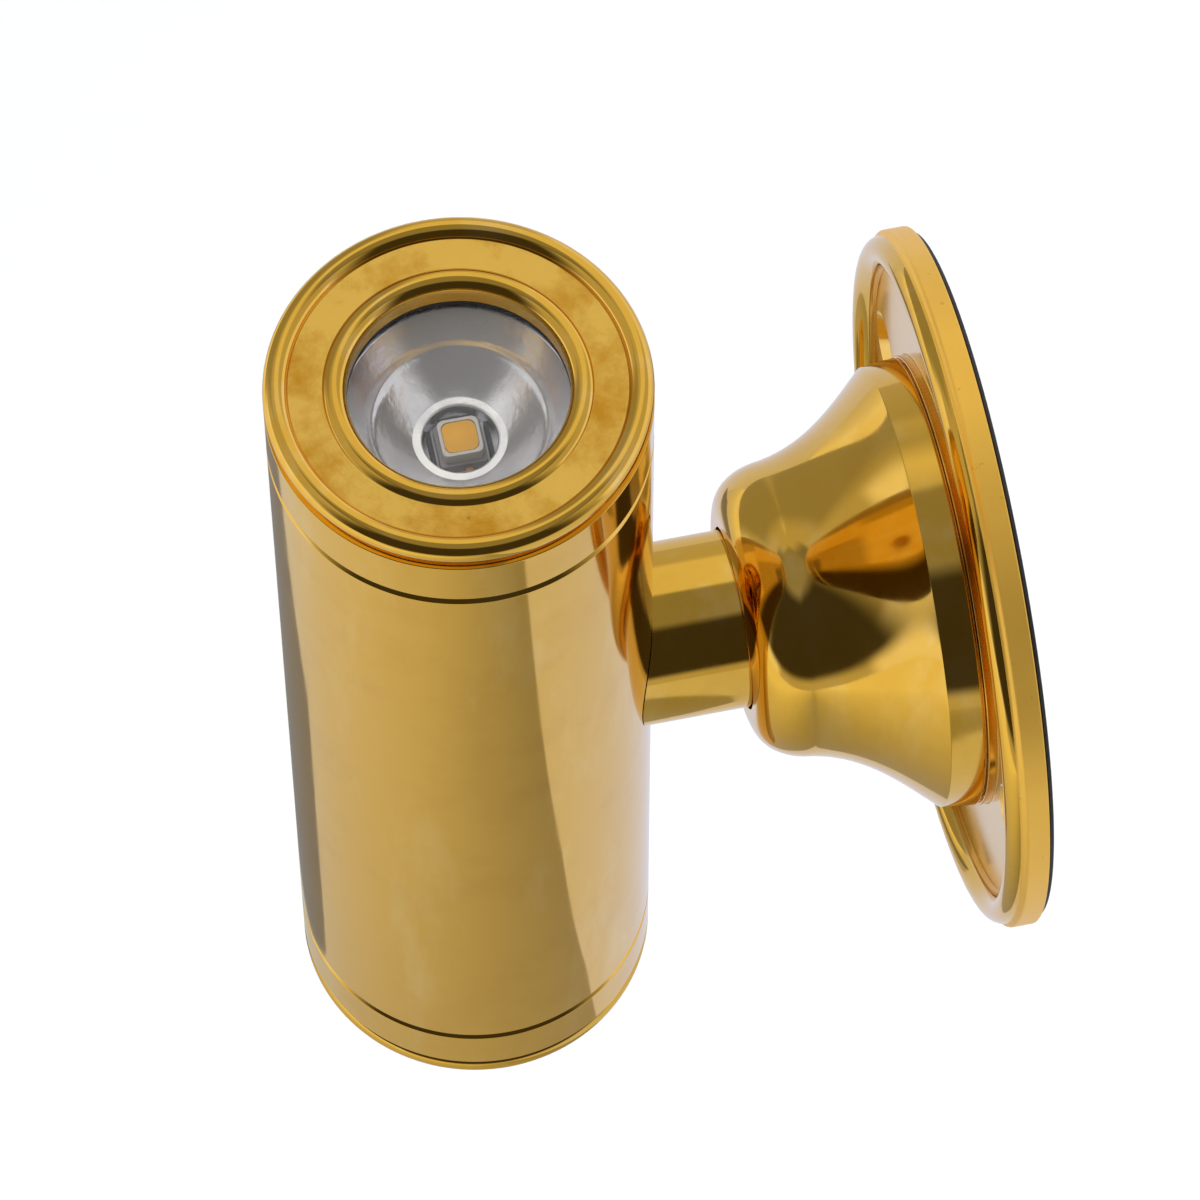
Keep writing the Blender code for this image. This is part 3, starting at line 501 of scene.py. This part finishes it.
def back_plate():
    spigot_d, well_r = 5.5, 17.5
    plate = turned("wall_plate", plate_outline(well_r, spigot_d), BRASS, WALL)
    behind, above = PLATE_BACK - 1, PLATE_FLOOR + 1
    sink_d = PLATE_FLOOR - (COUNTERSINK_R - FIXING_HOLE_R)
    chamfer = 0.12
    hole = [(0, behind), (FIXING_HOLE_R, behind), (FIXING_HOLE_R, sink_d), (COUNTERSINK_R, PLATE_FLOOR),
            (COUNTERSINK_R + 2 * chamfer, PLATE_FLOOR + chamfer), (0, above)]
    head_r, head_d, shank_r = 3.1, 2.5, 1.7
    counterbore = [(0, behind), (head_r, behind), (head_r, head_d), (shank_r, head_d),
                   (shank_r, spigot_d + 1), (0, spigot_d + 1)]
    tools = bmesh.new()
    for side in (-1, 1):
        add_turned(tools, hole, MEDIUM, on_wall(side * FIXING_X, 0))
    for angle in CUP_SCREW_ANGLES:
        add_turned(tools, counterbore, MEDIUM, on_wall(*on_circle(CUP_SCREW_CIRCLE, angle)))
    cable = [(0, behind), (CABLE_HOLE_R, behind), (CABLE_HOLE_R, above), (0, above)]
    add_turned(tools, cable, MEDIUM, on_wall(0, CABLE_HOLE_Z))
    carve(plate, tools)
    band_in, band_high = BEAD_R + BEAD_MINOR - 0.1, BEAD_D + 0.4
    face_out, face_high = BEAD_R - BEAD_MINOR + 0.1, 4.4
    finish_faces(plate, WALL, SATIN, lambda r, h: r > band_in and h < band_high)
    finish_faces(plate, WALL, DULL, lambda r, h: well_r < r < face_out and h < face_high)
    stand_in(plate, "wall_base", "polished_brass", "back_plate")


def wall_cup():
    """A bell that flares from its shoulder to its rim, hollow behind, bored for the arm's bearing."""
    waist = (16.45, 21.0)
    flare = bezier((24.5, 8.05), (21.9, 11.0), (17.5, 14.8), waist, 56)
    shoulder = bezier(waist, (16.2, 23.4), (15.0, 26.6), (11.4, CUP_FRONT), 40)
    bore_r, bore_front, bore_back = 12.2, 25.6, 16.3
    neck = [(LIP_R, CUP_FRONT), (LIP_R, bore_front), (bore_r, bore_front), (bore_r, bore_back)]
    hollow = bezier((15.9, bore_back), (16.4, 14.0), (18.2, 11.6), (19.9, 9.6), 8)[:7]
    foot_in, foot_out, foot_d = 17.2, 23.5, 5.8
    foot = [(foot_in, 9.0), (foot_in, foot_d), (foot_out, foot_d), (foot_out, CUP_RIM_D)]
    outline = [(CUP_RIM_R, CUP_RIM_D)] + flare + shoulder[1:] + neck + hollow + foot
    cup = turned("cup_shell", outline, BRASS, WALL)
    stand_in(cup, "wall_base", "polished_brass", "wall_cup")


def wall_pad():
    inner_r, outer_r, thick = 34.2, PLATE_R - 0.7, 0.4
    outline = [(inner_r, 0), (outer_r, 0), (outer_r, thick), (inner_r, thick)]
    pad = turned("pad_ring", outline, MATERIALS["rubber"], WALL, 0.1)
    stand_in(pad, "wall_base", "rubber", "wall_pad")


def cable_grommet():
    low, high = -GROMMET_HIGH[1] / MM, -GROMMET_LOW[1] / MM
    bore_r, neck_r, flange_r = 3.6, 5.0, 5.9
    flange = PLATE_FLOOR + GAP / 2
    outline = [(bore_r, low), (neck_r, low), (neck_r, flange), (flange_r, flange), (flange_r, high),
               (bore_r, high)]
    grommet = turned("grommet", outline, MATERIALS["rubber"], on_wall(0, CABLE_HOLE_Z), 0.25, MEDIUM)
    stand_in(grommet, "wall_base", "rubber", "cable_grommet")


def cross_outline(half, reach, turn):
    """A plus sign whose bars are two halves wide and reach this far from its middle."""
    points = []
    for quarter in range(4):
        a = math.radians(90 * quarter + turn)
        for x, y in ((reach, -half), (reach, half), (half, half)):
            points.append((x * math.cos(a) - y * math.sin(a), x * math.sin(a) + y * math.cos(a)))
    return points


def cup_screws():
    """Screws put in from behind the plate, with a cross recess turned differently in each."""
    head_r, shank_r = 2.7, 1.25
    head_low, head_top, tip = 0.8, 2.2, 8.2
    recess_half, recess_reach, recess_low, recess_top = 0.28, 1.5, 0.5, 1.5
    outline = [(0, head_low), (head_r, head_low), (head_r, head_top), (shank_r, head_top), (shank_r, tip),
               (0, tip)]
    for number, angle in enumerate(CUP_SCREW_ANGLES, 1):
        place = on_wall(*on_circle(CUP_SCREW_CIRCLE, angle))
        screw = turned(f"screw_{number}", outline, MATERIALS["zinc_steel"], place, 0.3, 64)
        tools = bmesh.new()
        cross = cross_outline(recess_half, recess_reach, 17 * number)
        add_prism(tools, cross, recess_low, recess_top, place)
        carve(screw, tools)
        stand_in(screw, "wall_base", "zinc_steel", f"cup_screw_{number}")


# ---------------------------------------------------------------- turning head

def arm():
    """A bored rod whose far end is cut to the tube's curve, just clear of it."""
    reach = BODY_R + 0.06
    edge = 0.1
    bore_step = 26.0

    def saddle(radius, a):
        return BODY_OUT - math.sqrt(reach ** 2 - (radius * math.cos(a)) ** 2)

    loops = [(ARM_R, lambda a, t=t: ARM_BACK + (saddle(ARM_R, a) - ARM_BACK) * t)
             for t in (0, 0.01, 0.25, 0.5, 0.75, 0.99, 1)]
    loops += [(ARM_R - edge, lambda a: saddle(ARM_R - edge, a)),
              (ARM_END_BORE_R, lambda a: saddle(ARM_END_BORE_R, a)),
              (ARM_END_BORE_R, lambda a: bore_step),
              (ARM_BORE_R, lambda a: bore_step),
              (ARM_BORE_R, lambda a: ARM_BACK)]
    bm = bmesh.new()
    rings = []
    for radius, distance in loops:
        ring = []
        for i in range(FINE):
            a = 2 * math.pi * i / FINE
            point = Vector((radius * math.cos(a), -distance(a), radius * math.sin(a))) * MM
            ring.append(bm.verts.new(point))
        rings.append(ring)
    for lower, upper in zip(rings, rings[1:] + rings[:1]):
        for i in range(FINE):
            j = (i + 1) % FINE
            bm.faces.new((lower[i], lower[j], upper[j], upper[i]))
    rod = finish_mesh("arm_rod", bm, BRASS)
    stand_in(rod, "lamp_head", "polished_brass", "arm_tube")


def tube():
    edge, side = BODY_R - GROOVE, TUBE_END - GROOVE
    socket_r, socket_h, inner_r = 18.0, 40.0, 17.0
    outline = [(edge, -TUBE_END), (BODY_R, -side), (BODY_R, side), (edge, TUBE_END),
               (socket_r, TUBE_END), (socket_r, socket_h), (inner_r, socket_h),
               (inner_r, -socket_h), (socket_r, -socket_h), (socket_r, -TUBE_END)]
    shell = turned("tube_shell", outline, BRASS, UP, 0.12)
    stand_in(shell, "lamp_head", "polished_brass", "body_tube")


# ---------------------------------------------------------------- one lamp end

def bezel(prefix, place):
    seam = TUBE_END + GAP
    rim_end = 180 - math.degrees(math.asin((FLOOR_H - RIM_H) / RIM_MINOR))
    crest_start = math.degrees(math.asin((FLOOR_H - RING_H) / RING_MINOR))
    skirt_r, skirt_low = 17.7, 48.4
    slot_r, slot_low, slot_top = 16.6, 51.2, 52.6
    band_top, rim_foot_r = 60.1, 19.15
    throat_r, throat_low, throat_top = 13.1, 56.3, 59.7
    inner_r, cone_low = 15.3, 54.8
    skirt = [(skirt_r, skirt_low), (skirt_r, slot_low), (slot_r, slot_low), (slot_r, slot_top),
             (skirt_r, slot_top), (skirt_r, seam)]
    band = [(BODY_R - GROOVE, seam), (BODY_R, seam + GROOVE), (BODY_R, band_top), (rim_foot_r, band_top)]
    rim = arc(RIM_R, RIM_H, RIM_MINOR, -68, rim_end, 60)
    crest = arc(RING_R, RING_H, RING_MINOR, crest_start, 168, 36)
    bore = [(WINDOW_R, 61.4), (WINDOW_R, throat_top), (throat_r, throat_top), (throat_r, throat_low),
            (inner_r, cone_low), (inner_r, skirt_low)]
    ring = turned(prefix + "_bezel_ring", skirt + band + rim + crest + bore, BRASS, place, 0.12)
    face_in, face_out, near = 13.9, 17.45, 0.06
    finish_faces(ring, place, SUNKEN, lambda r, h: face_in < r < face_out and abs(h - FLOOR_H) < near)
    stand_in(ring, prefix + "_bezel_set", "polished_brass", prefix + "_bezel")


def reflector(prefix, place):
    """Neck round the LED, rounded collar, then a bell with a soft crease part of the way up."""
    rise = (BELL_TOP - COLLAR_H) / (BELL_R ** 2 - COLLAR_R ** 2)
    steps, wall, neck_low, flange_r = 60, 0.6, 49.1, 12.1
    crease_deep, crease_r, crease_wide = 0.14, 9.2, 0.35
    bell = []
    for i in range(steps + 1):
        r = COLLAR_R + (BELL_R - COLLAR_R) * i / steps
        crease = crease_deep * math.exp(-((r - crease_r) / crease_wide) ** 2)
        bell.append((r, COLLAR_H + rise * (r ** 2 - COLLAR_R ** 2) - crease))
    back = [(r + wall, h - wall) for r, h in reversed(bell[1:])]
    outline = [(NECK_R, neck_low), (NECK_R, COLLAR_H)] + bell + [(flange_r, BELL_TOP)] + back
    outline += [(COLLAR_R + wall, neck_low)]
    piece = turned(prefix + "_reflector_bell", outline, MATERIALS["reflector"], place, 0.3, MEDIUM)
    stand_in(piece, "lamp_head", "reflector", prefix + "_reflector")


def lens(prefix, place):
    """The window pane and the seal ring on top of its edge."""
    pane_outline = [(0, LENS_LOW), (LENS_R, LENS_LOW), (LENS_R, LENS_TOP), (0, LENS_TOP)]
    pane = turned(prefix + "_lens_pane", pane_outline, MATERIALS["clear_glass"], place, 0.2, MEDIUM)
    stand_in(pane, prefix + "_lens_set", "clear_glass", prefix + "_lens")
    seal_outline = [(WINDOW_R, SEAL_LOW), (LENS_R, SEAL_LOW), (LENS_R, SEAL_TOP), (WINDOW_R, SEAL_TOP)]
    seal = turned(prefix + "_seal_ring", seal_outline, MATERIALS["rubber"], place, 0.15, MEDIUM)
    stand_in(seal, prefix + "_lens_set", "rubber", prefix + "_lens_seal")


def led(prefix, place):
    """A stepped package: a wide foot, a raised dam and the phosphor set inside it."""
    bm = bmesh.new()
    add_prism(bm, rounded_square(LED_SIDE, 0.35), LED_LOW, LED_STEP, place, 0.12)
    package = finish_mesh(prefix + "_led_frame", bm, MATERIALS["led_body"])
    dam = bmesh.new()
    add_prism(dam, rounded_square(LED_DAM_SIDE, 0.6), LED_STEP - 0.2, LED_TOP, place, 0.1)
    raised = finish_mesh(prefix + "_led_dam", dam, DAM)
    pocket = bmesh.new()
    add_prism(pocket, rounded_square(PHOSPHOR_SIDE + GAP / 2, 0.8), LED_TOP - 0.3, LED_TOP + 1, place)
    carve(raised, pocket)
    stand_in(package, "lamp_head", "led_body", prefix + "_led_package")
    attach(raised, "lamp_head")
    bm = bmesh.new()
    add_prism(bm, rounded_square(PHOSPHOR_SIDE, 0.75), LED_TOP - 0.35, LED_TOP - 0.04, place, 0.1)
    phosphor = finish_mesh(prefix + "_led_window", bm, MATERIALS["phosphor"])
    stand_in(phosphor, "lamp_head", "phosphor", prefix + "_led_phosphor")


def board_pads(prefix, place):
    """Dark contact bars beside the package and a small copper pad, as high as the package's foot."""
    off, thick, long_bar, short_bar, sunk = 3.05, 0.45, 4.2, 3.6, 0.05
    bars_at = ((0, -off, long_bar, thick), (0, off, long_bar, thick), (-off, 0, thick, short_bar))
    bm = bmesh.new()
    for x, y, wide, deep in bars_at:
        outline = [(x - wide / 2, y - deep / 2), (x + wide / 2, y - deep / 2),
                   (x + wide / 2, y + deep / 2), (x - wide / 2, y + deep / 2)]
        add_prism(bm, outline, BOARD_TOP - sunk, LED_STEP, place, 0.04)
    bars = finish_mesh(prefix + "_contact_bars", bm, MATERIALS["rubber"])
    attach(bars, "lamp_head")
    bm = bmesh.new()
    pad_outline = rounded_square(0.8, 0.2, 4, (3.2, 0.3))
    add_prism(bm, pad_outline, BOARD_TOP - sunk, LED_STEP, place, 0.04)
    pad = finish_mesh(prefix + "_solder_pad", bm, COPPER)
    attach(pad, "lamp_head")


# ---------------------------------------------------------------- studio

# Angles are in degrees. Places are in metres, but TABLE_BEND and TABLE_GAP are in millimetres.

CAMERA_PLACE = Vector((0.37542, -0.11997, 0.73676))
CAMERA_AZIMUTH, CAMERA_ELEVATION = 78.22, 62.18
CAMERA_LENS, CAMERA_SENSOR = 228.07, 36.0
WORLD_TINT, WORLD_STRENGTH = (1, 0.98, 0.97, 1), 0.58
SUN_STRENGTH, SUN_SOFTNESS, SUN_TILT = 2.02, 50, (20, -12)
FLOOR_Z = -0.80
TABLE_Z = -0.100             # the mirrored table, only seen in the metal
TABLE_EDGE_Y = -0.017
TABLE_FULL_Y = -0.317        # where the painted shadow on the table fades out and its brightness stops rising
# The darkest table brightness is the painted shadow of the lamp on the table, next to the lamp.
TABLE_SHADOWED, TABLE_LIGHT = 0.35, 1.0
TABLE_SHADES = ((0.14, 0.49), (0.30, 0.66), (0.45, 0.75))      # share of the way, brightness
TABLE_BEND = ((88, -15), (47, -17), (27, -23), (18, -30), (-60, -62))
TABLE_GAP = ((-8, -92), (-12, -97), (-21, -107), (-31, -119),
             (-54, -120.5), (-160, -125), (-160, -77), (-30, -77))
COOL, WARM, IVORY = (0.97, 1.0, 1.3), (1, 0.9, 0.8), (1, 0.98, 0.90)


def direction(azimuth, elevation):
    """Unit vector; azimuth 0 is +X, 90 is +Y."""
    a, e = math.radians(azimuth), math.radians(elevation)
    return Vector((math.cos(a) * math.cos(e), math.sin(a) * math.cos(e), math.sin(e)))


def camera():
    data = bpy.data.cameras.new("camera")
    data.sensor_width = CAMERA_SENSOR
    data.lens = CAMERA_LENS
    obj = bpy.data.objects.new("camera", data)
    bpy.context.scene.collection.objects.link(obj)
    back = direction(CAMERA_AZIMUTH - 90, CAMERA_ELEVATION)
    obj.location = CAMERA_PLACE
    obj.rotation_mode = "QUATERNION"
    obj.rotation_quaternion = (-back).to_track_quat("-Z", "Y")
    bpy.context.scene.camera = obj


def glow(name, strength, tint=(1, 1, 1)):
    """A material that only shines; also its node tree and emission node, to build on."""
    mat = bpy.data.materials.new(name)
    mat.use_nodes = True
    tree = mat.node_tree
    tree.nodes.remove(tree.nodes["Principled BSDF"])
    emission = tree.nodes.new("ShaderNodeEmission")
    emission.inputs["Color"].default_value = (*tint, 1)
    emission.inputs["Strength"].default_value = strength
    tree.links.new(emission.outputs["Emission"], tree.nodes["Material Output"].inputs["Surface"])
    return mat, tree, emission


def stage_card(name, bm, mat):
    """Make an object that is only seen as a reflection in the metal."""
    mesh = bpy.data.meshes.new(name)
    bm.to_mesh(mesh)
    bm.free()
    mesh.materials.append(mat)
    obj = bpy.data.objects.new(name, mesh)
    bpy.context.scene.collection.objects.link(obj)
    obj.visible_camera = obj.visible_diffuse = obj.visible_shadow = False


def card(name, corners, mat):
    """A flat card with hard edges."""
    bm = bmesh.new()
    bm.faces.new([bm.verts.new(c) for c in corners])
    stage_card(name, bm, mat)


def soft_glow(name, strength, tint, feather, folds):
    """A shining material that fades to clear at the edges of the UV square.

    A fold of 0.5 fades both ends of its axis; a fold of 1.0 fades only the lower end.
    """
    mat, tree, emission = glow(name, strength, tint)
    coords = tree.nodes.new("ShaderNodeUVMap")
    split = tree.nodes.new("ShaderNodeSeparateXYZ")
    tree.links.new(coords.outputs["UV"], split.inputs["Vector"])
    cover = None
    for axis, soft, fold in zip("XY", feather, folds):
        inside = tree.nodes.new("ShaderNodeMath")
        inside.operation = "PINGPONG"
        inside.inputs[1].default_value = fold
        tree.links.new(split.outputs[axis], inside.inputs[0])
        fade = tree.nodes.new("ShaderNodeMapRange")
        fade.interpolation_type = "SMOOTHSTEP"
        fade.inputs["From Max"].default_value = soft
        tree.links.new(inside.outputs[0], fade.inputs["Value"])
        if cover:
            both = tree.nodes.new("ShaderNodeMath")
            both.operation = "MULTIPLY"
            tree.links.new(cover, both.inputs[0])
            tree.links.new(fade.outputs["Result"], both.inputs[1])
            cover = both.outputs[0]
        else:
            cover = fade.outputs["Result"]
    clear = tree.nodes.new("ShaderNodeBsdfTransparent")
    blend = tree.nodes.new("ShaderNodeMixShader")
    tree.links.new(cover, blend.inputs["Fac"])
    tree.links.new(clear.outputs["BSDF"], blend.inputs[1])
    tree.links.new(emission.outputs["Emission"], blend.inputs[2])
    tree.links.new(blend.outputs["Shader"], tree.nodes["Material Output"].inputs["Surface"])
    return mat


def far_card(name, azimuths, elevations, strength, tint=(1, 1, 1), distance=1.3, feather=(0.1, 0.1),
             folds=(0.5, 0.5)):
    """A soft-edged card that fills a window of directions, bent round the object in strips."""
    steps = 24
    mat = soft_glow(name, strength, tint, feather, folds)
    bm = bmesh.new()
    layer = bm.loops.layers.uv.new("UVMap")
    rows = []
    for i in range(steps + 1):
        azimuth = azimuths[0] + (azimuths[1] - azimuths[0]) * i / steps
        row = []
        for k in range(steps + 1):
            elevation = elevations[0] + (elevations[1] - elevations[0]) * k / steps
            row.append(bm.verts.new(direction(azimuth, elevation) * distance))
        rows.append(row)
    for i in range(steps):
        for k in range(steps):
            places = ((i, k), (i, k + 1), (i + 1, k + 1), (i + 1, k))
            face = bm.faces.new([rows[u][v] for u, v in places])
            for loop, (u, v) in zip(face.loops, places):
                loop[layer].uv = (u / steps, v / steps)
    stage_card(name, bm, mat)


def table_cards():
    """What the tube mirrors: a table that darkens towards the arm with the lamp's shadow painted into its
    glow, its bright far side, a dark gap.
    """
    mat, tree, emission = glow("table_front", 1.0, (1.0, 0.99, 0.90))
    coords = tree.nodes.new("ShaderNodeTexCoord")
    split = tree.nodes.new("ShaderNodeSeparateXYZ")
    tree.links.new(coords.outputs["Object"], split.inputs["Vector"])
    # The glow ramps down towards the lamp: a painted shadow of the lamp on the table.
    ramp = tree.nodes.new("ShaderNodeValToRGB")
    reach = tree.nodes.new("ShaderNodeMapRange")
    reach.inputs["From Min"].default_value = TABLE_EDGE_Y
    reach.inputs["From Max"].default_value = TABLE_FULL_Y
    tree.links.new(split.outputs["Y"], reach.inputs["Value"])
    tree.links.new(reach.outputs["Result"], ramp.inputs["Fac"])
    stops = ramp.color_ramp.elements
    stops[0].color = (TABLE_SHADOWED, TABLE_SHADOWED, TABLE_SHADOWED, 1)
    stops[1].color = (TABLE_LIGHT, TABLE_LIGHT, TABLE_LIGHT, 1)
    for place, grey in TABLE_SHADES:
        stop = stops.new(place)
        stop.color = (grey, grey, grey, 1)
    tree.links.new(ramp.outputs["Color"], emission.inputs["Strength"])
    z = TABLE_Z
    turns = [Vector((x, y, 0)) * MM + Vector((0, 0, z)) for x, y in TABLE_BEND]
    bend = [Vector((1, TABLE_EDGE_Y, z))] + turns + [Vector((-1, -0.35, z))]
    card("table_front", [(-1, -1, z), (1, -1, z)] + bend, mat)
    rear = glow("table_rear", 0.76, (0.96, 1.0, 1.2))[0]
    card("table_rear", [(-1, 1, z)] + list(reversed(bend)) + [(1, 1, z)], rear)
    z += 0.001
    gap = glow("table_gap", 0.25, (1, 1, 1))[0]
    card("table_gap", [(x * MM, y * MM, z) for x, y in TABLE_GAP], gap)


def far_cards():
    """Bright boxes, dim walls and the ceiling that the metal mirrors; nearer cards hide farther ones."""
    far_card("box_front", (-130, -44), (-50, 20), 1.08, COOL, feather=(0.12, 0.1))
    far_card("box_rear", (52, 162), (-50, 34), 0.98, COOL, feather=(0.08, 0.1))
    far_card("back_upper", (126, 196), (22, 80), 0.86, IVORY, distance=1.27, feather=(0.15, 0.15))
    far_card("dim_left", (-184, -124), (-30, 56), 0.36, distance=1.24, feather=(0.2, 0.2))
    far_card("camera_side", (-90, 60), (-1, 70), 0.055, WARM, distance=1.2, feather=(0.2, 0.12))
    far_card("ceiling_front", (-150, 118), (60, 77), 0.24, distance=1.25, feather=(0.1, 0.2))
    far_card("ceiling", (-180, 180), (67, 90), 0.32, distance=1.22, feather=(0.0001, 0.2),
             folds=(0.5, 1.0))


def paper_sweep():
    """A pale round floor that curves up into a wall all the way round."""
    low = FLOOR_Z / MM
    flat_r, bend_r, wall_top, thick = 2000, 900, 3000, 50
    wall_r = flat_r + bend_r
    outline = [(0, low)] + arc(flat_r, low + bend_r, bend_r, -90, 0, 24) + [(wall_r, wall_top)]
    outline += [(wall_r + thick, wall_top), (wall_r + thick, low - thick), (0, low - thick)]
    bm = bmesh.new()
    add_turned(bm, outline, 96)
    shader = Shader("sweep_paper", 0.8)
    shader.link(shader.mixed(shader.noise(3, 2), PAPER, PAPER_LIGHT), shader.principled, "Base Color")
    floor = finish_mesh("sweep", bm, shader.material)
    floor.visible_glossy = False


def soft_sun():
    light = bpy.data.lights.new("soft_sun", "SUN")
    light.energy = SUN_STRENGTH
    light.angle = math.radians(SUN_SOFTNESS)
    sun = bpy.data.objects.new("soft_sun", light)
    sun.rotation_euler = (math.radians(SUN_TILT[0]), math.radians(SUN_TILT[1]), 0)
    sun.visible_glossy = False
    bpy.context.scene.collection.objects.link(sun)


def studio():
    world = bpy.data.worlds.new("studio")
    bpy.context.scene.world = world
    world.use_nodes = True
    background = world.node_tree.nodes["Background"]
    background.inputs["Color"].default_value = WORLD_TINT
    background.inputs["Strength"].default_value = WORLD_STRENGTH
    far_cards()
    table_cards()
    paper_sweep()
    soft_sun()
    bpy.context.scene.view_settings.view_transform = "Standard"


dress_cad_nodes()
back_plate()
wall_cup()
wall_pad()
cable_grommet()
cup_screws()
arm()
tube()
for prefix, place in (("upper", UP), ("lower", DOWN)):
    bezel(prefix, place)
    reflector(prefix, place)
    lens(prefix, place)
    led(prefix, place)
    board_pads(prefix, place)
camera()
studio()
